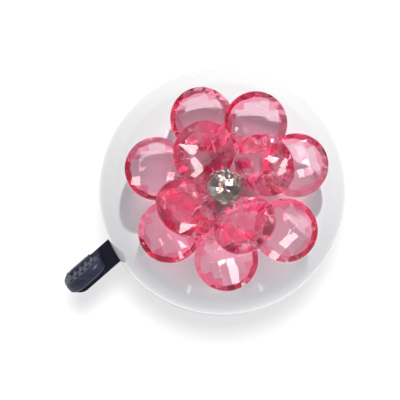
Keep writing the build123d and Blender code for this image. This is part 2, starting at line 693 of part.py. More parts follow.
export_step(gong.part, "parts/gong.step")

# Two knobs are welded inside the skirt, where the hammers hit.
KNOB_ROOT = sqrt((GONG_R - GONG_WALL) ** 2 - KNOB_R**2) - FIT
with BuildPart() as strike_knobs:
    for side in (1, -1):
        with BuildSketch(Plane(origin=(side * KNOB_REACH_R, 0, KNOB_Z), z_dir=(side, 0, 0))):
            Circle(KNOB_R)
        extrude(amount=KNOB_ROOT - KNOB_REACH_R)
    fillet(strike_knobs.edges().group_by(lambda edge: abs(edge.center().X))[0], 0.9)
strike_knobs.part.label = "strike_knobs"
export_step(strike_knobs.part, "parts/strike_knobs.step")

# The boss screws onto the post. Its spigot goes through the crown and is peened over.
BOSS_R = 5.0
BOSS_BOTTOM = 35.5
SPIGOT_TOP = sphere_height(CROWN_R, 0) + 0.3
BOSS_FACE_R = CROWN_INNER_R - 0.03
BOSS_SPIGOT_R = CROWN_HOLE_R - 0.03
with BuildPart() as gong_boss:
    with BuildSketch(Plane.XZ):
        with BuildLine():
            Polyline(
                (BOSS_SPIGOT_R, sphere_height(BOSS_FACE_R, BOSS_SPIGOT_R)),
                (BOSS_SPIGOT_R, SPIGOT_TOP),
                (0, SPIGOT_TOP),
                (0, POST_TOP + 0.4),
                (POST_R + FIT, POST_TOP + 0.4),
                (POST_R + FIT, BOSS_BOTTOM),
                (BOSS_R - 0.5, BOSS_BOTTOM),
                (BOSS_R, BOSS_BOTTOM + 0.5),
                (BOSS_R, sphere_height(BOSS_FACE_R, BOSS_R)),
            )
            CenterArc(
                CROWN_CENTRE,
                BOSS_FACE_R,
                degrees(acos(BOSS_R / BOSS_FACE_R)),
                degrees(acos(BOSS_SPIGOT_R / BOSS_FACE_R) - acos(BOSS_R / BOSS_FACE_R)),
            )
        make_face()
    revolve(axis=Axis.Z)
gong_boss.part.label = "gong_boss"
export_step(gong_boss.part, "parts/gong_boss.step")

# --- Flower ---


def petal_height(distance):
    """Half the petal's thickness at a distance from its middle."""
    return PETAL_RIM + PETAL_BULGE * (1 - (distance / PETAL_R) ** 2)


def petal_points(facet_turn):
    """Corners of a checkerboard cut: square cells on both faces and a many-sided rim."""
    ticks = [PETAL_CELL * (step + 0.5) for step in range(-3, 3)]
    turn = radians(facet_turn)
    points = []
    for x in ticks:
        for y in ticks:
            if hypot(x, y) > PETAL_R - 0.9:
                continue
            turned = (x * cos(turn) - y * sin(turn), x * sin(turn) + y * cos(turn))
            for side in (1, -1):
                points.append((*turned, side * petal_height(hypot(x, y))))
    for index in range(PETAL_RIM_SIDES):
        corner = polar(PETAL_R, facet_turn + 360 * index / PETAL_RIM_SIDES)
        for side in (1, -1):
            points.append((*corner, side * PETAL_RIM))
    return points


def petal_plane(angle, distance, height, tilt, roll):
    """The petal's middle plane: X runs outwards and up by the tilt, and the roll is about X."""
    outwards = Vector(cos(radians(angle)), sin(radians(angle)), 0)
    sideways = Vector(-sin(radians(angle)), cos(radians(angle)), 0)
    lean = radians(tilt)
    x_dir = outwards * cos(lean) + Vector(0, 0, sin(lean))
    level_normal = Vector(0, 0, cos(lean)) - outwards * sin(lean)
    z_dir = level_normal * cos(radians(roll)) - sideways * sin(radians(roll))
    return Plane(origin=(*polar(distance, angle), height), x_dir=x_dir, z_dir=z_dir)


def build_petal(angle, distance, height, tilt, roll, facet_turn):
    plane = petal_plane(angle, distance, height, tilt, roll)
    with BuildPart(plane) as petal:
        ConvexPolyhedron(petal_points(facet_turn))
        with Locations((-PETAL_HOLE_OFFSET, 0, 0)):
            Hole(PETAL_HOLE_R)
    return petal


for index, pose in enumerate(OUTER_PETALS, start=1):
    petal_outer = build_petal(*pose)
    petal_outer.part.label = f"petal_outer_{index}"
    export_step(petal_outer.part, f"parts/petal_outer_{index}.step")

for index, pose in enumerate(INNER_PETALS, start=1):
    petal_inner = build_petal(*pose)
    petal_inner.part.label = f"petal_inner_{index}"
    export_step(petal_inner.part, f"parts/petal_inner_{index}.step")


def tie_points(angle, distance, height, tilt, roll, facet_turn):
    """A tie's wire in the petal's radial plane, as (distance from the axis, height) points."""
    lean = radians(tilt)

    def local(x, z):
        return (distance + x * cos(lean) - z * sin(lean), height + x * sin(lean) + z * cos(lean))

    below = local(-PETAL_HOLE_OFFSET, -petal_height(PETAL_HOLE_OFFSET) - 0.6)
    above = local(-PETAL_HOLE_OFFSET, petal_height(PETAL_HOLE_OFFSET) + 0.5)
    over_rim = local(-PETAL_R - 0.7, PETAL_RIM + 0.5)
    outer_foot = (below[0] + 0.1, DISC_Z)
    inner_foot = (over_rim[0], DISC_Z)
    return [outer_foot, below, above, over_rim, inner_foot]


def build_ties(poses):
    """One wire tie for each petal, through its hole, over its inner rim and into the disc."""
    with BuildPart() as ties:
        for pose in poses:
            angle = radians(pose[0])
            radial_plane = Plane(
                origin=(0, 0, 0),
                x_dir=(cos(angle), sin(angle), 0),
                z_dir=(sin(angle), -cos(angle), 0),
            )
            with BuildLine(radial_plane) as route:
                FilletPolyline(*tie_points(*pose), radius=0.45)
            with BuildSketch(Plane(origin=route.line @ 0, z_dir=route.line % 0)):
                Circle(TIE_WIRE_R)
            sweep(path=route.line)
    return ties


outer_petal_ties = build_ties(OUTER_PETALS)
outer_petal_ties.part.label = "outer_petal_ties"
export_step(outer_petal_ties.part, "parts/outer_petal_ties.step")

inner_petal_ties = build_ties(INNER_PETALS)
inner_petal_ties.part.label = "inner_petal_ties"
export_step(inner_petal_ties.part, "parts/inner_petal_ties.step")

TIE_FEET = [
    polar(foot[0], pose[0])
    for pose in OUTER_PETALS + INNER_PETALS
    for foot in (tie_points(*pose)[0], tie_points(*pose)[-1])
]
STONE_PIN_R = 0.6
with BuildPart() as flower_disc:
    with BuildSketch(Plane.XY.offset(DISC_Z)):
        Circle(DISC_R)
        with Locations(*TIE_FEET):
            Circle(TIE_WIRE_R + 0.25, mode=Mode.SUBTRACT)
        with Locations(STONE_AT):
            Circle(STONE_PIN_R + FIT, mode=Mode.SUBTRACT)
    extrude(amount=DISC_THICKNESS)
flower_disc.part.label = "flower_disc"
export_step(flower_disc.part, "parts/flower_disc.step")

# The glue pad fills the space between the crown and the disc, round the boss's spigot.
GLUE_FACE_R = CROWN_R + FIT
GLUE_HOLE_R = CROWN_HOLE_R + 0.1
with BuildPart() as flower_glue:
    with BuildSketch(Plane.XZ):
        with BuildLine():
            Polyline(
                (GLUE_HOLE_R, sphere_height(GLUE_FACE_R, GLUE_HOLE_R)),
                (GLUE_HOLE_R, DISC_Z - 0.01),
                (GLUE_R, DISC_Z - 0.01),
                (GLUE_R, sphere_height(GLUE_FACE_R, GLUE_R)),
            )
            CenterArc(
                CROWN_CENTRE,
                GLUE_FACE_R,
                degrees(acos(GLUE_R / GLUE_FACE_R)),
                degrees(acos(GLUE_HOLE_R / GLUE_FACE_R) - acos(GLUE_R / GLUE_FACE_R)),
            )
        make_face()
    revolve(axis=Axis.Z)
flower_glue.part.label = "flower_glue"
export_step(flower_glue.part, "parts/flower_glue.step")

# The stone sits on a cupped pin that stands in the disc.
STONE_CUP_R = 2.6
STONE_CUP_THICKNESS = 0.7
with BuildPart() as stone_pin:
    with BuildSketch(Plane((*STONE_AT, DISC_Z))):
        Circle(STONE_PIN_R)
    extrude(amount=STONE_Z - STONE_CUP_THICKNESS - DISC_Z)
    with BuildSketch(Plane((*STONE_AT, STONE_Z - STONE_CUP_THICKNESS))):
        Circle(STONE_CUP_R)
    extrude(amount=STONE_CUP_THICKNESS - 0.01)
stone_pin.part.label = "stone_pin"
export_step(stone_pin.part, "parts/stone_pin.step")

STONE_GIRDLE = 1.6
STONE_HEIGHT = 3.9
STONE_TABLE_R = 1.3
STONE_BACK_R = 2.9


def ring(radius, count, height, first_angle=0.0):
    return [(*polar(radius, first_angle + 360 * step / count), height) for step in range(count)]


LOBE_STEP = 360 / STONE_LOBES
with BuildPart(Plane((*STONE_AT, STONE_Z))) as centre_stone:
    ConvexPolyhedron(
        ring(STONE_BACK_R, STONE_LOBES, 0)
        + ring(STONE_R, 2 * STONE_LOBES, STONE_GIRDLE - 0.4)
        + ring(STONE_R, 2 * STONE_LOBES, STONE_GIRDLE)
        + ring(0.72 * STONE_R, STONE_LOBES, 2.8, LOBE_STEP / 2)
        + ring(STONE_TABLE_R, STONE_LOBES, STONE_HEIGHT - 0.25)
        + [(0, 0, STONE_HEIGHT)]
    )
    # A groove between lobes scallops the outline.
    with PolarLocations(STONE_R + 0.35, STONE_LOBES, start_angle=LOBE_STEP / 2):
        Cylinder(0.8, 3 * STONE_HEIGHT, mode=Mode.SUBTRACT)
centre_stone.part.label = "centre_stone"
export_step(centre_stone.part, "parts/centre_stone.step")
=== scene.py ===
"""Handlebar bell with an acrylic bead flower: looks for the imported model."""

import math
import random

import bmesh
import bpy
from mathutils import Matrix, Vector
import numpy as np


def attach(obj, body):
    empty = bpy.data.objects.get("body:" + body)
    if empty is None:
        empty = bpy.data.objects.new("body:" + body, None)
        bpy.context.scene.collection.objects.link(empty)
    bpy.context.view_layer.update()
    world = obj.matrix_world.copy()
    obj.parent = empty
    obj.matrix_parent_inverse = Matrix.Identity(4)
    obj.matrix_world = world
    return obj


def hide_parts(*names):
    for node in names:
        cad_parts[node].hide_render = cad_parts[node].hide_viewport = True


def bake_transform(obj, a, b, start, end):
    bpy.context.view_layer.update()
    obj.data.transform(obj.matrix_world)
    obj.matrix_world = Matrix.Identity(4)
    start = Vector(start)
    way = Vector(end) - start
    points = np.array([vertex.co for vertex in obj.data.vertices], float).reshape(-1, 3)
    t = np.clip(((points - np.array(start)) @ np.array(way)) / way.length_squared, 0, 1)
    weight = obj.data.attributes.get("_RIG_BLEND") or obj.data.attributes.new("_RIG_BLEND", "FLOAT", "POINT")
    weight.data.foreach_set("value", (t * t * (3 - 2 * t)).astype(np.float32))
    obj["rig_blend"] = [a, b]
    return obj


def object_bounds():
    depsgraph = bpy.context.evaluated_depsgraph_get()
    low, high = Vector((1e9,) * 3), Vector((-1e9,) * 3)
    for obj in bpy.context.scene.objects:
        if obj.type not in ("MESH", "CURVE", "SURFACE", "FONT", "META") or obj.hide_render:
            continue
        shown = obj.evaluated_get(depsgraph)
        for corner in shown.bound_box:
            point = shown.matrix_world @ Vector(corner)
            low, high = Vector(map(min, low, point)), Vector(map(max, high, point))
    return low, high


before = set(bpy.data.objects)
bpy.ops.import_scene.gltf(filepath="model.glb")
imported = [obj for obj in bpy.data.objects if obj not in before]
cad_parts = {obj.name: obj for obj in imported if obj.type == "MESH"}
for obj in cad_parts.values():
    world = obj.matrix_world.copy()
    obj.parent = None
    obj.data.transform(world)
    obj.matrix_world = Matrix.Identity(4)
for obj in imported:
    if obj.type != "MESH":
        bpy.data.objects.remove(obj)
CAD_LOW, CAD_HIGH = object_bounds()

MM = 0.001

# --- Petals: the same poses and size as the part's own solids, in mm and degrees ---
# Each row: angle round the bell, distance from its axis, height, tilt, roll, turn of the facets.
OUTER_PETALS = [
    (108, 16.0, 48.4, 1, 9, 6),
    (63, 15.9, 48.7, 1, 10, 28),
    (16, 17.0, 48.8, 2, 8, 2),
    (-35.5, 17.1, 48.4, 2, 5, -8),
    (-88, 16.4, 48.3, 0, 6, 12),
    (-140, 15.8, 48.5, 1, 8, -20),
    (165.5, 15.6, 48.6, 2, 6, 15),
]
INNER_PETALS = [
    (122, 8.5, 52.3, 22, 9, 10),
    (26, 10.0, 53.2, 34, 6, -12),
    (-63, 10.0, 53.2, 35, 6, 20),
    (-148, 9.9, 53.2, 33, 10, 0),
]
# How deep each petal's window is tinted, from 0 to 1. On the outer petals at the right, lower right, bottom
# and lower left the deeper tint is painted shade for the shadow under them; the inner petals' even tint is
# dyed in.
OUTER_PAINTED_SHADE = (0.0, 0.0, 0.08, 0.1, 0.1, 0.1, 0.0)
INNER_DYE = (0.1, 0.1, 0.1, 0.1)
PETAL_R = 7.2
PETAL_RIM = 0.3
PETAL_FRONT = 2.0
PETAL_BACK = 1.85
PETAL_RIM_SIDES = 48
# A petal's front facets: their pitch, the clear window's radius, how uneven their slopes and the
# window's tint are, the range of the tint round the window, whose deeper pink is painted shade,
# and how many long facets fan out there in place of the checkerboard.
OUTER_FRONT = {
    "cell": 1.95,
    "window_r": 5.2,
    "wobble": 0.015,
    "mottle": 0.12,
    "rim_shades": (0.7, 1.0),
    "fan": 0,
}
INNER_FRONT = {
    "cell": 1.5,
    "window_r": 4.4,
    "wobble": 0.16,
    "mottle": 0.8,
    "rim_shades": (0.2, 1.1),
    "fan": 30,
}
FAN_AT_R = 6.0
FAN_MOTTLE = 0.2
# Rows of facets on a petal's back: how many, slope in degrees, turn in steps, where the row's
# planes pass as a radius and a depth, and the tint's range.
OUTER_BACK_ROWS = [
    (32, 36.0, 0.5, (7.2, 0.3), (0.1, 0.6)),
    (16, 15.0, 0.0, (4.6, 1.7), (0.0, 0.2)),
]
INNER_BACK_ROWS = [
    (44, 25.0, 0.5, (7.2, 0.3), (-0.5, 1.4)),
    (26, 13.0, 0.0, (4.6, 1.5), (-0.4, 0.8)),
]
BACK_SLOPE_JITTER = 2.5
# The girdle's tints are the rim's deeper pink: painted shade as well.
PETAL_GIRDLE_SHADES = (0.6, 1.0)
PETAL_HOLE_R = 0.7
PETAL_HOLE_OFFSET = 5.4
# The bevel on a petal's edges, and the angle in degrees above which an edge gets it.
PETAL_EDGE_WIDTH = 0.075
PETAL_EDGE_ANGLE = 1.5
# Corners nearer than this are joined before a solid's faces are made, and faces that meet at a
# smaller angle in degrees than this become one. Edges shorter than a sliver are closed at the end.
CORNER_MERGE = 0.06
FLAT_ANGLE = 1.2
SLIVER = 0.004


# --- Node helpers ---


class Nodes:
    """Short calls for building a material's node tree."""

    def __init__(self, name):
        self.material = bpy.data.materials.new(name)
        self.material.use_nodes = True
        self.tree = self.material.node_tree
        self.tree.nodes.clear()
        self.output = self.add("ShaderNodeOutputMaterial")
        self.shader = self.add("ShaderNodeBsdfPrincipled")
        self.link(self.shader.outputs["BSDF"], self.output.inputs["Surface"])
        self.coordinates = self.add("ShaderNodeTexCoord").outputs["Object"]

    def add(self, kind):
        return self.tree.nodes.new(kind)

    def link(self, source, target):
        self.tree.links.new(source, target)

    def set(self, **values):
        """Constants on the shader's own sockets; an underscore stands for a space."""
        for key, value in values.items():
            self.shader.inputs[key.replace("_", " ")].default_value = value

    def stretched(self, scale):
        mapping = self.add("ShaderNodeMapping")
        mapping.inputs["Scale"].default_value = scale
        self.link(self.coordinates, mapping.inputs["Vector"])
        return mapping.outputs["Vector"]

    def noise(self, scale, detail=3.0, roughness=0.5, vector=None):
        noise = self.add("ShaderNodeTexNoise")
        noise.inputs["Scale"].default_value = scale
        noise.inputs["Detail"].default_value = detail
        noise.inputs["Roughness"].default_value = roughness
        self.link(vector or self.coordinates, noise.inputs["Vector"])
        return noise.outputs["Fac"]

    def range(self, source, low, high, to_low=0.0, to_high=1.0):
        node = self.add("ShaderNodeMapRange")
        for key, value in (
            ("From Min", low),
            ("From Max", high),
            ("To Min", to_low),
            ("To Max", to_high),
        ):
            node.inputs[key].default_value = value
        self.link(source, node.inputs["Value"])
        return node.outputs["Result"]

    def ramp(self, source, stops):
        ramp = self.add("ShaderNodeValToRGB")
        elements = ramp.color_ramp.elements
        while len(elements) < len(stops):
            elements.new(0.5)
        for element, (position, colour) in zip(elements, stops):
            element.position = position
            element.color = (*colour, 1)
        self.link(source, ramp.inputs["Fac"])
        return ramp.outputs["Color"]

    def math(self, operation, first, second):
        node = self.add("ShaderNodeMath")
        node.operation = operation
        for socket, value in zip(node.inputs, (first, second)):
            if isinstance(value, (int, float)):
                socket.default_value = value
            else:
                self.link(value, socket)
        return node.outputs["Value"]

    def bump(self, *layers):
        """Stacks (height, strength, distance in metres) layers into the shader's normal."""
        previous = None
        for height, strength, distance in layers:
            bump = self.add("ShaderNodeBump")
            bump.inputs["Strength"].default_value = strength
            bump.inputs["Distance"].default_value = distance
            self.link(height, bump.inputs["Height"])
            if previous:
                self.link(previous, bump.inputs["Normal"])
            previous = bump.outputs["Normal"]
        self.link(previous, self.shader.inputs["Normal"])

    def colour(self, source):
        self.link(source, self.shader.inputs["Base Color"])

    def roughness(self, source):
        self.link(source, self.shader.inputs["Roughness"])

    def height(self):
        split = self.add("ShaderNodeSeparateXYZ")
        self.link(self.coordinates, split.inputs["Vector"])
        return split.outputs["Z"]


def metal(name, dark, light, rough, grain=900.0, scratches=0.5):
    """Plated or drawn metal: mottled colour, uneven gloss and fine scratches."""
    n = Nodes(name)
    n.set(Metallic=1.0)
    mottle = n.noise(grain * 0.35, 5.0, 0.65)
    n.colour(n.ramp(mottle, [(0.3, dark), (0.7, light)]))
    lines = n.noise(grain, 4.0, 0.7, n.stretched((1.0, 14.0, 5.0)))
    wear = n.math("MULTIPLY", n.math("ADD", mottle, lines), 0.5)
    n.roughness(n.range(wear, 0.3, 0.7, rough * 0.7, rough * 1.4))
    n.bump((lines, 0.12 * scratches, 2e-5), (n.noise(grain * 4, 2.0), 0.06, 1e-5))
    return n.material


def moulded(name, dark, light, rough, grain=2600.0, depth=0.25):
    """Moulded plastic or rubber: fine spark-eroded grain and slight rub marks."""
    n = Nodes(name)
    n.set(Metallic=0.0, IOR=1.5)
    cloud = n.noise(130.0, 4.0, 0.6)
    fine = n.noise(grain, 2.0, 0.6)
    rub = n.noise(420.0, 5.0, 0.7, n.stretched((1.0, 3.0, 1.0)))
    mottle = n.math("MULTIPLY", n.math("ADD", cloud, rub), 0.5)
    n.colour(n.ramp(mottle, [(0.35, dark), (0.68, light)]))
    n.roughness(n.range(rub, 0.35, 0.7, rough * 0.8, min(1.0, rough * 1.3)))
    n.bump((fine, depth, 3e-5), (cloud, 0.05, 5e-5))
    return n.material


# The gong's rolled rim has a cool, darker tone of painted shade that fades into white between these heights
# in metres.
RIM_SHADE_FADE = (0.0208, 0.0220)
RIM_PAINTED_SHADE = (0.30, 0.32, 0.42, 1)


def enamel():
    """Glossy white stove enamel with a faint orange peel, and a cool painted shade on the rolled rim."""
    n = Nodes("white_enamel")
    n.set(Metallic=0.0, IOR=1.5, Coat_Weight=0.6, Coat_Roughness=0.02, Coat_IOR=1.5)
    cloud = n.noise(38.0, 3.0, 0.5)
    base = n.ramp(cloud, [(0.3, (0.80, 0.80, 0.805)), (0.7, (0.83, 0.83, 0.83))])
    # Painted shade: the rim darkens to a cool grey-blue near the gong's lower edge.
    rim = n.range(n.height(), *RIM_SHADE_FADE, 1.0, 0.0)
    mix = n.add("ShaderNodeMix")
    mix.data_type = "RGBA"
    n.link(rim, mix.inputs["Factor"])
    n.link(base, mix.inputs["A"])
    mix.inputs["B"].default_value = RIM_PAINTED_SHADE
    n.colour(mix.outputs["Result"])
    n.roughness(n.range(n.noise(210.0, 4.0, 0.6), 0.3, 0.7, 0.07, 0.13))
    n.bump((n.noise(330.0, 2.0, 0.4), 0.05, 2e-5), (n.noise(75.0, 1.0), 0.03, 6e-5))
    return n.material


DYE = (0.98, 0.03, 0.34, 1)


def acrylic(name, window, rim, density, haze, lamp_window, lamp_rim):
    """Dyed clear acrylic: a face attribute tints each facet, the deeper pink of the rim facets and of some
    windows being painted shade, and the dyed body deepens in colour with thickness.
    """
    n = Nodes(name)
    n.set(Metallic=0.0, IOR=1.49, Transmission_Weight=1.0 - haze, Roughness=0.0)
    tint = n.add("ShaderNodeAttribute")
    tint.attribute_name = "tint"
    swirl = n.noise(420.0, 2.0, 0.5)
    shade = n.math("ADD", tint.outputs["Fac"], n.range(swirl, 0.3, 0.7, -0.04, 0.04))
    middle = [(a + b) / 2 for a, b in zip(window, rim)]
    # The ramp runs from the window's colour to the rim's deeper pink, which is painted shade for the light
    # that bounces inside the rim facets.
    n.colour(n.ramp(shade, [(0.0, window), (0.5, middle), (1.0, rim)]))
    n.bump((n.noise(260.0, 2.0, 0.5), 0.03, 2e-5))
    # For a lamp's shadow rays the disc is a tinted filter, which is darker round its rim.
    passes = n.add("ShaderNodeBsdfTransparent")
    filtered = n.ramp(tint.outputs["Fac"], [(0.3, lamp_window), (1.0, lamp_rim)])
    n.link(filtered, passes.inputs["Color"])
    chooser = n.add("ShaderNodeMixShader")
    n.link(n.add("ShaderNodeLightPath").outputs["Is Shadow Ray"], chooser.inputs["Fac"])
    n.link(n.shader.outputs["BSDF"], chooser.inputs[1])
    n.link(passes.outputs["BSDF"], chooser.inputs[2])
    n.link(chooser.outputs["Shader"], n.output.inputs["Surface"])
    volume = n.add("ShaderNodeVolumeAbsorption")
    volume.inputs["Color"].default_value = DYE
    volume.inputs["Density"].default_value = density
    n.link(volume.outputs["Volume"], n.output.inputs["Volume"])
    return n.material


def clear(name, colour, rough, ior):
    """Clear glass or resin with faint clouds in its tint and gloss."""
    n = Nodes(name)
    n.set(Metallic=0.0, IOR=ior, Transmission_Weight=1.0)
    n.colour(n.ramp(n.noise(500.0, 3.0), [(0.3, [c * 0.94 for c in colour]), (0.7, colour)]))
    n.roughness(n.range(n.noise(700.0, 3.0), 0.3, 0.7, rough * 0.6, rough * 1.4))
    n.bump((n.noise(300.0, 2.0), 0.05, 3e-5))
    return n.material


# A facet of the stone's foiled back has this much added to its tone, to tell it from the crown.
FOIL_TINT = 1.0


def foil():
    """The stone's mirror backing, whose facets show silver, taupe, copper and ice tones; besides the foil's
    silver they are painted reflections of a room's dark and bright parts, drawn at random for each facet,
    with a pinkish cast of painted light from the petals.
    """
    n = Nodes("foil_backing")
    n.set(Metallic=1.0)
    tone = n.add("ShaderNodeAttribute")
    tone.attribute_name = "tint"
    spread = n.range(n.noise(1500.0, 3.0), 0.3, 0.7, -0.05, 0.05)
    shade = n.math("SUBTRACT", n.math("ADD", tone.outputs["Fac"], spread), FOIL_TINT)
    # Painted reflections: dark taupe, copper and icy white stand for what the foil would mirror.
    foil_and_reflection_tones = [
        (0.0, (0.20, 0.15, 0.16)),
        (0.25, (0.44, 0.35, 0.34)),
        (0.45, (0.78, 0.55, 0.47)),
        (0.6, (0.50, 0.43, 0.41)),
        (0.75, (0.82, 0.84, 0.87)),
    ]
    n.colour(n.ramp(shade, foil_and_reflection_tones))
    n.roughness(n.range(n.noise(900.0, 3.0), 0.3, 0.7, 0.06, 0.16))
    return n.material


# The rim colours below are painted shade: the acrylic's dye is even, and the rim's deeper pink stands for
# light bouncing inside the rim facets.
OUTER_ACRYLIC = acrylic(
    "outer_acrylic",
    window=(0.90, 0.865, 0.885),
    rim=(0.92, 0.16, 0.32),
    density=74.0,
    haze=0.0,
    lamp_window=(0.06, 0.04, 0.05),
    lamp_rim=(0.03, 0.02, 0.03),
)
INNER_ACRYLIC = acrylic(
    "inner_acrylic",
    window=(1.0, 0.93, 0.95),
    rim=(1.0, 0.07, 0.25),
    density=34.0,
    haze=0.03,
    lamp_window=(0.60, 0.35, 0.45),
    lamp_rim=(0.40, 0.15, 0.25),
)
# The crystal's warm pink cast is painted light: the pink light that the petals round the stone throw on it.
CRYSTAL = clear("clear_crystal", (0.91, 0.86, 0.84), 0.01, 1.6)
FOIL = foil()
GLUE = clear("clear_glue", (0.92, 0.90, 0.84), 0.15, 1.48)
ENAMEL = enamel()
TIE_WIRE = metal("tie_wire", (0.78, 0.77, 0.76), (0.93, 0.92, 0.91), 0.16)
ZINC = metal("zinc_steel", (0.52, 0.53, 0.54), (0.70, 0.71, 0.72), 0.34)
BASE_STEEL = metal("base_steel", (0.44, 0.45, 0.46), (0.60, 0.61, 0.62), 0.42, 700.0)
SPRING = metal("spring_steel", (0.34, 0.34, 0.35), (0.52, 0.52, 0.53), 0.28)
HAMMER = metal("hammer_steel", (0.48, 0.48, 0.49), (0.68, 0.68, 0.69), 0.3)
BRASS = metal("gear_brass", (0.62, 0.44, 0.17), (0.80, 0.61, 0.29), 0.3)
NYLON = moulded("gear_nylon", (0.70, 0.68, 0.60), (0.80, 0.78, 0.71), 0.42)
LEVER = moulded("lever_plastic", (0.014, 0.014, 0.040), (0.028, 0.028, 0.066), 0.42)
BLACK = moulded("black_plastic", (0.014, 0.014, 0.016), (0.035, 0.035, 0.038), 0.5)
RUBBER = moulded("black_rubber", (0.012, 0.012, 0.012), (0.028, 0.027, 0.026), 0.8, 1900.0, 0.5)

NODE_MATERIALS = {
    "gong": ENAMEL,
    "strike_knobs": ZINC,
    "gong_boss": ZINC,
    "base_plate": BASE_STEEL,
    "centre_post": ZINC,
    "saddle_rivets": ZINC,
    "lever_pivot_pin": ZINC,
    "idler_shaft": ZINC,
    "idler_clip": SPRING,
    "rotor_clip": SPRING,
    "spring_post": ZINC,
    "lever": LEVER,
    "idler_gear": NYLON,
    "rotor_pinion": BRASS,
    "rotor_washer": NYLON,
    "rotor_arm": ZINC,
    "hammer_pins": ZINC,
    "hammer_a": HAMMER,
    "hammer_b": HAMMER,
    "clamp_upper": BLACK,
    "clamp_lower": BLACK,
    "clamp_screws": ZINC,
    "clamp_nuts": ZINC,
    "rubber_shim": RUBBER,
    "flower_disc": INNER_ACRYLIC,
    "flower_glue": GLUE,
    "outer_petal_ties": TIE_WIRE,
    "inner_petal_ties": TIE_WIRE,
    "stone_pin": ZINC,
}

for node, material in NODE_MATERIALS.items():
    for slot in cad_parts[node].material_slots:
        slot.material = material


# --- Mesh helpers ---


def facing(angle):
    """The level direction at this angle in radians."""
    return Vector((math.cos(angle), math.sin(angle), 0))


def new_mesh(bm, name):
    mesh = bpy.data.meshes.new(name)
    bm.to_mesh(mesh)
    bm.free()
    return mesh


def link_piece(name, mesh, *materials):
    piece = bpy.data.objects.new(name, mesh)
    bpy.context.scene.collection.objects.link(piece)
    for material in materials:
        mesh.materials.append(material)
    return piece


def add_rod(bm, radius, segments, depth, place):
    bmesh.ops.create_cone(
        bm,
        cap_ends=True,
        segments=segments,
        radius1=radius,
        radius2=radius,
        depth=depth,
        matrix=Matrix.Translation(place),
    )


def cut_with(piece, name, cutter):
    cut = piece.modifiers.new(name, "BOOLEAN")
    cut.operation = "DIFFERENCE"
    cut.solver = "EXACT"
    cut.object = cutter


def apply_modifiers(piece):
    """Applies the piece's modifiers, and closes the slivers that they leave."""
    depsgraph = bpy.context.evaluated_depsgraph_get()
    mesh = bpy.data.meshes.new_from_object(piece.evaluated_get(depsgraph))
    piece.modifiers.clear()
    old = piece.data
    piece.data = mesh
    bpy.data.meshes.remove(old)
    mesh.name = piece.name
    bm = bmesh.new()
    bm.from_mesh(mesh)
    bmesh.ops.remove_doubles(bm, verts=bm.verts[:], dist=SLIVER)
    bmesh.ops.dissolve_degenerate(bm, edges=bm.edges[:], dist=SLIVER)
    bm.to_mesh(mesh)
    bm.free()


def convex_solid(planes):
    """The convex solid inside every (normal, offset, tint) half-space; faces keep their tint."""
    dual = bmesh.new()
    for normal, offset, _ in planes:
        dual.verts.new(normal / offset)
    bmesh.ops.convex_hull(dual, input=dual.verts[:])
    bm = bmesh.new()
    for face in dual.faces:
        distance = face.normal.dot(face.verts[0].co)
        bm.verts.new(face.normal / distance)
    dual.free()
    bmesh.ops.remove_doubles(bm, verts=bm.verts[:], dist=CORNER_MERGE)
    hull = bmesh.ops.convex_hull(bm, input=bm.verts[:])
    unused = [item for item in hull["geom_interior"] if isinstance(item, bmesh.types.BMVert)]
    bmesh.ops.delete(bm, geom=unused, context="VERTS")
    bmesh.ops.dissolve_limit(
        bm,
        angle_limit=math.radians(FLAT_ANGLE),
        verts=bm.verts[:],
        edges=bm.edges[:],
        delimit=set(),
    )
    tint = bm.faces.layers.float.new("tint")
    for face in bm.faces:
        face[tint] = max(planes, key=lambda plane: plane[0].normalized().dot(face.normal))[2]
    return bm


# --- Petals ---


def petal_planes(dice, front, back_rows, dye_and_shade):
    """Checkerboard front, girdle, and a back of one flat table with rows of rim facets."""
    planes = []
    cell, window_r, wobble = front["cell"], front["window_r"], front["wobble"]
    mottle, rim_shades, fan = front["mottle"], front["rim_shades"], front["fan"]
    drop = (PETAL_FRONT - PETAL_RIM) / PETAL_R**2
    offset = dice.choice((0.0, 0.5))
    steps = int(PETAL_R / cell) + 1
    ticks = [cell * (step + offset) for step in range(-steps, steps + 1)]
    for x in ticks:
        for y in ticks:
            reach = math.hypot(x, y)
            in_window = reach < window_r
            if reach > PETAL_R + cell or (fan and not in_window):
                continue
            # A window's tint is dyed in, and on some outer petals it is painted shade as well.
            if in_window:
                shade = dye_and_shade + dice.uniform(0.0, mottle)
            else:
                shade = dice.uniform(*rim_shades)
            slope = [2 * drop * at + dice.uniform(-wobble, wobble) for at in (x, y)]
            height = PETAL_FRONT - drop * reach**2
            planes.append((Vector((*slope, 1)), height + slope[0] * x + slope[1] * y, shade))
    for index in range(fan):
        angle = 2 * math.pi * index / fan
        slope = 2 * drop * FAN_AT_R + dice.uniform(-wobble, wobble)
        normal = Vector((slope * math.cos(angle), slope * math.sin(angle), 1))
        height = PETAL_FRONT - drop * FAN_AT_R**2
        # The fan's facets alternate light and dark: painted light and shade for facets that catch and miss
        # the light.
        shade = rim_shades[index % 2] + dice.uniform(-FAN_MOTTLE, FAN_MOTTLE)
        planes.append((normal, height + slope * FAN_AT_R, shade))
    for index in range(PETAL_RIM_SIDES):
        outwards = facing(2 * math.pi * index / PETAL_RIM_SIDES)
        planes.append((outwards, PETAL_R, dice.uniform(*PETAL_GIRDLE_SHADES)))
    # The back table takes the window's tint, painted shade included.
    planes.append((Vector((0, 0, -1)), PETAL_BACK, dye_and_shade))
    for count, slope_degrees, turn, (radius, depth), shades in back_rows:
        for index in range(count):
            outwards = facing(2 * math.pi * (index + turn) / count)
            jitter = dice.uniform(-BACK_SLOPE_JITTER, BACK_SLOPE_JITTER)
            slope = math.radians(slope_degrees + jitter)
            normal = outwards * math.sin(slope) - Vector((0, 0, 1)) * math.cos(slope)
            edge = outwards * radius - Vector((0, 0, depth))
            planes.append((normal, normal.dot(edge), dice.uniform(*shades)))
    return planes


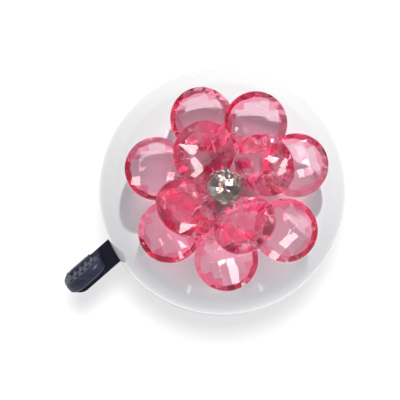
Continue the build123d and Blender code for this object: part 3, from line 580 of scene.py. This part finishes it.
def petal_matrix(angle, distance, height, tilt, roll):
    """The petal's place: X runs outwards and up by the tilt, and the roll is about X."""
    turn, lean, twist = math.radians(angle), math.radians(tilt), math.radians(roll)
    outwards = facing(turn)
    sideways = Vector((-math.sin(turn), math.cos(turn), 0))
    up = Vector((0, 0, 1))
    x_dir = outwards * math.cos(lean) + up * math.sin(lean)
    level_normal = up * math.cos(lean) - outwards * math.sin(lean)
    z_dir = level_normal * math.cos(twist) - sideways * math.sin(twist)
    y_dir = z_dir.cross(x_dir)
    basis = Matrix((x_dir, y_dir, z_dir)).transposed().to_4x4()
    return Matrix.Translation(outwards * distance + up * height) @ basis


def add_petal(name, node, pose, front, back_rows, dye_and_shade, material, seed, cutter):
    dice = random.Random(seed)
    bm = convex_solid(petal_planes(dice, front, back_rows, dye_and_shade))
    facet_turn = Matrix.Rotation(math.radians(pose[5]), 3, "Z")
    bmesh.ops.rotate(bm, verts=bm.verts[:], matrix=facet_turn)
    piece = link_piece(name, new_mesh(bm, name), material)
    edges = piece.modifiers.new("edges", "BEVEL")
    edges.width = PETAL_EDGE_WIDTH
    edges.segments = 1
    edges.limit_method = "ANGLE"
    edges.angle_limit = math.radians(PETAL_EDGE_ANGLE)
    cut_with(piece, "drill", cutter)
    apply_modifiers(piece)
    piece.data.transform(Matrix.Scale(MM, 4) @ petal_matrix(*pose[:5]))
    piece.data.update()
    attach(piece, "root")
    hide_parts(node)
    return piece


hole = bmesh.new()
add_rod(hole, PETAL_HOLE_R, 24, 4 * PETAL_FRONT, (-PETAL_HOLE_OFFSET, 0, 0))
hole_cutter = link_piece("hole_cutter", new_mesh(hole, "hole_cutter"))
# Each row: layer, petals, window tints (dyed in, and painted shade on some outer petals), front, back,
# material, and the seed before the first petal's.
FLOWER = [
    ("outer", OUTER_PETALS, OUTER_PAINTED_SHADE, OUTER_FRONT, OUTER_BACK_ROWS, OUTER_ACRYLIC, 0),
    ("inner", INNER_PETALS, INNER_DYE, INNER_FRONT, INNER_BACK_ROWS, INNER_ACRYLIC, 20),
]
petals = []
for layer, poses, dyes_and_shades, front, back_rows, material, seed in FLOWER:
    for index, (pose, dye_and_shade) in enumerate(zip(poses, dyes_and_shades), start=1):
        petal = add_petal(
            name=f"acrylic_petal_{layer}_{index}",
            node=f"petal_{layer}_{index}",
            pose=pose,
            front=front,
            back_rows=back_rows,
            dye_and_shade=dye_and_shade,
            material=material,
            seed=seed + index,
            cutter=hole_cutter,
        )
        petals.append(petal)
bpy.data.objects.remove(hole_cutter)

# --- Stone ---

STONE_AT = Vector((0.1, -0.4, 52.3))
STONE_R = 4.15
STONE_TOP = 3.9
STONE_MIDDLE = Vector((0, 0, 2.0))
STONE_RIM_SIDES = 32
STONE_SLOPE_JITTER = 2.0
STONE_SEED = 8
# Upright grooves scallop the stone's outline into lobes.
STONE_LOBES = 8
STONE_GROOVE_R = 0.8
STONE_GROOVE_AT_R = STONE_R + 0.05
# Rows of facets: how many, slope in degrees, turn in steps, and a radius and height that the row's
# planes pass.
CROWN_ROWS = [
    (16, 50.0, 0.5, (4.15, 1.6)),
    (8, 41.0, 0.0, (3.75, 2.05)),
    (16, 30.0, 0.25, (2.9, 2.75)),
    (8, 20.0, 0.5, (1.9, 3.33)),
    (8, 10.0, 0.0, (0.9, 3.72)),
]
PAVILION_ROWS = [
    (16, 36.0, 0.5, (4.15, 1.2)),
    (16, 22.0, 0.0, (3.5, 0.75)),
    (8, 13.0, 0.5, (2.0, 0.30)),
    (8, 5.0, 0.0, (0.0, 0.0)),
]


def stone_planes(dice):
    """The stone's crown, girdle and foiled back, about the stone's middle."""
    up = Vector((0, 0, 1))
    planes = [(up, STONE_TOP - STONE_MIDDLE.z, 0.0)]
    for rows, side in ((CROWN_ROWS, 1), (PAVILION_ROWS, -1)):
        for count, slope_degrees, turn, (radius, height) in rows:
            for index in range(count):
                jitter = dice.uniform(-STONE_SLOPE_JITTER, STONE_SLOPE_JITTER)
                slope = math.radians(slope_degrees + jitter)
                outwards = facing(2 * math.pi * (index + turn) / count)
                normal = outwards * math.sin(slope) + up * side * math.cos(slope)
                edge = outwards * radius + up * height - STONE_MIDDLE
                tone = 0.0 if side > 0 else FOIL_TINT + dice.uniform(0.0, 1.0)
                planes.append((normal, normal.dot(edge), tone))
    for index in range(STONE_RIM_SIDES):
        planes.append((facing(2 * math.pi * index / STONE_RIM_SIDES), STONE_R, 0.0))
    return planes


def add_stone():
    bm = convex_solid(stone_planes(random.Random(STONE_SEED)))
    bmesh.ops.translate(bm, verts=bm.verts[:], vec=STONE_MIDDLE)
    tint = bm.faces.layers.float["tint"]
    for face in bm.faces:
        face.material_index = 1 if face[tint] >= FOIL_TINT else 0
    piece = link_piece("crystal_stone", new_mesh(bm, "crystal_stone"), CRYSTAL, FOIL)
    grooves = bmesh.new()
    for index in range(STONE_LOBES):
        place = facing(2 * math.pi * (index + 0.5) / STONE_LOBES) * STONE_GROOVE_AT_R
        add_rod(grooves, STONE_GROOVE_R, 16, 4 * STONE_TOP, place)
    cutter = link_piece("grooves", new_mesh(grooves, "grooves"), CRYSTAL)
    cut_with(piece, "scallops", cutter)
    apply_modifiers(piece)
    bpy.data.objects.remove(cutter)
    piece.data.transform(Matrix.Scale(MM, 4) @ Matrix.Translation(STONE_AT))
    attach(piece, "root")
    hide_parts("centre_stone")
    return piece


stone = add_stone()

# --- Return spring: its foot stays by its post while its other leg turns with the lever ---

# The same as the part's own spring, in mm and degrees.
SPRING_PIVOT = Vector((-17.41, -6.11, 0.0))
SPRING_COIL_R = 3.0
SPRING_WIRE_R = 0.3
SPRING_Z = 19.9
SPRING_PITCH = 0.66
SPRING_TURN = 890.97
SPRING_FIXED_LEG = 7.9
SPRING_MOVING_LEG = 6.7
# The wire's turns between these heights take up the lever's swing.
SPRING_BENDS = (20.0, 21.4)
SPRING_STEPS = 120


def coil_point(turned):
    """The wire's middle after it has turned this many degrees."""
    height = Vector((0, 0, SPRING_Z + SPRING_PITCH * turned / 360))
    return SPRING_PIVOT + facing(math.radians(turned)) * SPRING_COIL_R + height


def add_spring():
    points = [coil_point(SPRING_TURN * step / SPRING_STEPS) for step in range(SPRING_STEPS + 1)]
    first = (coil_point(0) - coil_point(1)).normalized()
    last = (coil_point(SPRING_TURN) - coil_point(SPRING_TURN - 1)).normalized()
    points.insert(0, points[0] + first * SPRING_FIXED_LEG)
    points.append(points[-1] + last * SPRING_MOVING_LEG)
    wire = bpy.data.curves.new("return_spring_wire", "CURVE")
    wire.dimensions = "3D"
    wire.bevel_depth = SPRING_WIRE_R
    wire.bevel_resolution = 4
    wire.use_fill_caps = True
    line = wire.splines.new("POLY")
    line.points.add(len(points) - 1)
    for place, point in zip(line.points, points):
        place.co = (*point, 1)
    guide = bpy.data.objects.new("return_spring_guide", wire)
    bpy.context.scene.collection.objects.link(guide)
    depsgraph = bpy.context.evaluated_depsgraph_get()
    mesh = bpy.data.meshes.new_from_object(guide.evaluated_get(depsgraph))
    bpy.data.objects.remove(guide)
    mesh.transform(Matrix.Scale(MM, 4))
    mesh.shade_smooth()
    mesh.materials.clear()
    piece = link_piece("bending_spring", mesh, SPRING)
    low, high = (SPRING_PIVOT + Vector((0, 0, z)) for z in SPRING_BENDS)
    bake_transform(piece, "root", "lever", start=low * MM, end=high * MM)
    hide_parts("return_spring")


add_spring()

# --- Stage, light and camera ---

FLOOR_HALF = 1.5
FLOOR_GAP = 0.0001
floor_mesh = bpy.data.meshes.new("floor")
corners = [(-1, -1), (1, -1), (1, 1), (-1, 1)]
floor_mesh.from_pydata(
    [(x * FLOOR_HALF, y * FLOOR_HALF, CAD_LOW.z - FLOOR_GAP) for x, y in corners],
    [],
    [(0, 1, 2, 3)],
)
floor_finish = Nodes("floor_paper")
floor_finish.set(Roughness=0.9)
paper = [(0.3, (0.60, 0.60, 0.60)), (0.7, (0.62, 0.62, 0.62))]
floor_finish.colour(floor_finish.ramp(floor_finish.noise(30.0), paper))
# A little light of its own brings the paper up to the pale tone of a lit studio floor.
floor_finish.set(Emission_Color=(1, 1, 1, 1), Emission_Strength=0.535)
floor = link_piece("floor", floor_mesh, floor_finish.material)


def area_light(name, location, target, size, power, size_y=None):
    """A lamp that faces its target; it is square unless it has a second size."""
    light = bpy.data.lights.new(name, "AREA")
    light.energy = power
    light.shape = "RECTANGLE"
    light.size = size
    light.size_y = size_y or size
    lamp = bpy.data.objects.new(name, light)
    lamp.location = location
    lamp.rotation_euler = (Vector(target) - Vector(location)).to_track_quat("-Z", "Y").to_euler()
    bpy.context.scene.collection.objects.link(lamp)
    return lamp


def light_only(lamp, pieces, state="INCLUDE"):
    """The lamp's light falls on these pieces alone or, with EXCLUDE, on everything else."""
    receivers = bpy.data.collections.new(lamp.name + "_receivers")
    for piece in pieces:
        receivers.objects.link(piece)
    lamp.light_linking.receiver_collection = receivers
    for member in receivers.collection_objects:
        member.light_linking.link_state = state


def only_in_reflections(lamp):
    lamp.visible_diffuse = False
    lamp.visible_camera = False


FLOWER_AT = (0, 0, 0.045)
GONG_FRONT_AT = (0, -0.02, 0.035)
key = area_light("key", (0.042, 0.29, 0.45), FLOWER_AT, 0.012, 2.1)
light_only(key, [floor], "EXCLUDE")
# These lamps light only the petals and the stone, as glints in their facets.
# Each row: place, width, length and power.
GLINT_LAMPS = [
    ((-0.03, -0.19, 0.45), 0.012, 0.18, 0.085),
    ((0.03, -0.20, 0.45), 0.012, 0.18, 0.085),
    ((0.10, -0.19, 0.45), 0.008, 0.18, 0.06),
    ((-0.12, -0.17, 0.44), 0.008, 0.14, 0.05),
    ((-0.20, -0.05, 0.43), 0.010, 0.12, 0.05),
    ((0.20, -0.06, 0.43), 0.010, 0.12, 0.05),
    ((-0.20, 0.16, 0.42), 0.02, 0.03, 0.04),
    ((0.0, -0.42, 0.27), 0.012, 0.20, 0.1),
    ((0.26, 0.12, 0.38), 0.02, 0.06, 0.06),
    ((-0.26, -0.16, 0.36), 0.02, 0.08, 0.07),
    ((0.16, -0.34, 0.32), 0.012, 0.16, 0.08),
    ((-0.17, -0.36, 0.30), 0.012, 0.16, 0.08),
    ((-0.07, 0.18, 0.45), 0.006, 0.12, 0.07),
    ((-0.12, 0.15, 0.45), 0.006, 0.12, 0.07),
    ((0.17, 0.10, 0.45), 0.006, 0.12, 0.07),
    ((0.13, 0.15, 0.44), 0.006, 0.12, 0.07),
    ((0.07, -0.24, 0.42), 0.006, 0.12, 0.07),
    ((-0.18, -0.13, 0.44), 0.006, 0.20, 0.06),
    ((-0.14, -0.10, 0.46), 0.006, 0.20, 0.06),
    ((0.0, -0.24, 0.43), 0.006, 0.24, 0.07),
    ((-0.06, -0.15, 0.46), 0.006, 0.24, 0.07),
    ((0.14, -0.12, 0.46), 0.006, 0.20, 0.06),
]
for index, (place, width, length, power) in enumerate(GLINT_LAMPS, start=1):
    glint = area_light(f"glint_{index}", place, FLOWER_AT, width, power, length)
    only_in_reflections(glint)
    light_only(glint, petals + [stone])
wash = area_light("floor_wash", (0.0, 0.08, 0.62), (0, 0, 0), 0.10, 2.2)
light_only(wash, [floor])
# Two strips give the pair of streaks near the gong's lower edge.
for side, x in (("left", -0.17), ("right", 0.21)):
    strip = area_light(f"strip_{side}", (x, -0.5, 0.07), GONG_FRONT_AT, 0.012, 0.03, 0.20)
    only_in_reflections(strip)

world = bpy.data.worlds.new("studio")
world.use_nodes = True
tree = world.node_tree
tree.nodes.clear()
output = tree.nodes.new("ShaderNodeOutputWorld")
background = tree.nodes.new("ShaderNodeBackground")
background.inputs["Color"].default_value = (0.955, 0.96, 1.0, 1)
tree.links.new(background.outputs["Background"], output.inputs["Surface"])
direction = tree.nodes.new("ShaderNodeTexCoord").outputs["Generated"]
split = tree.nodes.new("ShaderNodeSeparateXYZ")
tree.links.new(direction, split.inputs["Vector"])


def sky_factor(axis, start, end, at_start, at_end):
    """A factor that runs from at_start to at_end while the direction's axis goes start to end."""
    node = tree.nodes.new("ShaderNodeMapRange")
    for key, value in (
        ("From Min", start),
        ("From Max", end),
        ("To Min", at_start),
        ("To Max", at_end),
    ):
        node.inputs[key].default_value = value
    tree.links.new(split.outputs[axis], node.inputs["Value"])
    return node.outputs["Result"]


# The sky's strength is a product: a little more at the right, most at the front, less overhead.
strength = sky_factor("X", -1.0, 1.0, 0.19, 0.22)
for factor in (
    sky_factor("Y", -1.0, 1.0, 5.7, 0.6),
    sky_factor("Z", 0.15, 1.0, 1.0, 0.30),
):
    product = tree.nodes.new("ShaderNodeMath")
    product.operation = "MULTIPLY"
    tree.links.new(strength, product.inputs[0])
    tree.links.new(factor, product.inputs[1])
    strength = product.outputs["Value"]
# What the camera sees past the floor's edge is as pale as the floor.
seen = tree.nodes.new("ShaderNodeMath")
seen.operation = "MAXIMUM"
tree.links.new(strength, seen.inputs[0])
light_path = tree.nodes.new("ShaderNodeLightPath")
tree.links.new(light_path.outputs["Is Camera Ray"], seen.inputs[1])
tree.links.new(seen.outputs["Value"], background.inputs["Strength"])
bpy.context.scene.world = world

# The camera looks almost straight down, and stands a little to the front of its target.
CAMERA_TARGET = Vector((-0.00535, -0.00175, 0.0200))
CAMERA_ELEVATION = math.radians(87.2)
CAMERA_DISTANCE = 0.340
scene = bpy.context.scene
camera_data = bpy.data.cameras.new("camera")
camera_data.sensor_width = 36.0
camera_data.lens = 124.5
camera_data.clip_start = 0.01
camera_data.clip_end = 10.0
camera = bpy.data.objects.new("camera", camera_data)
scene.collection.objects.link(camera)
away = Vector((0, -math.cos(CAMERA_ELEVATION), math.sin(CAMERA_ELEVATION)))
camera.location = CAMERA_TARGET + CAMERA_DISTANCE * away
camera.rotation_euler = (math.pi / 2 - CAMERA_ELEVATION, 0, 0)
scene.camera = camera

scene.view_settings.view_transform = "Standard"
scene.cycles.max_bounces = 24
scene.cycles.transmission_bounces = 24
scene.cycles.glossy_bounces = 12
scene.cycles.diffuse_bounces = 5
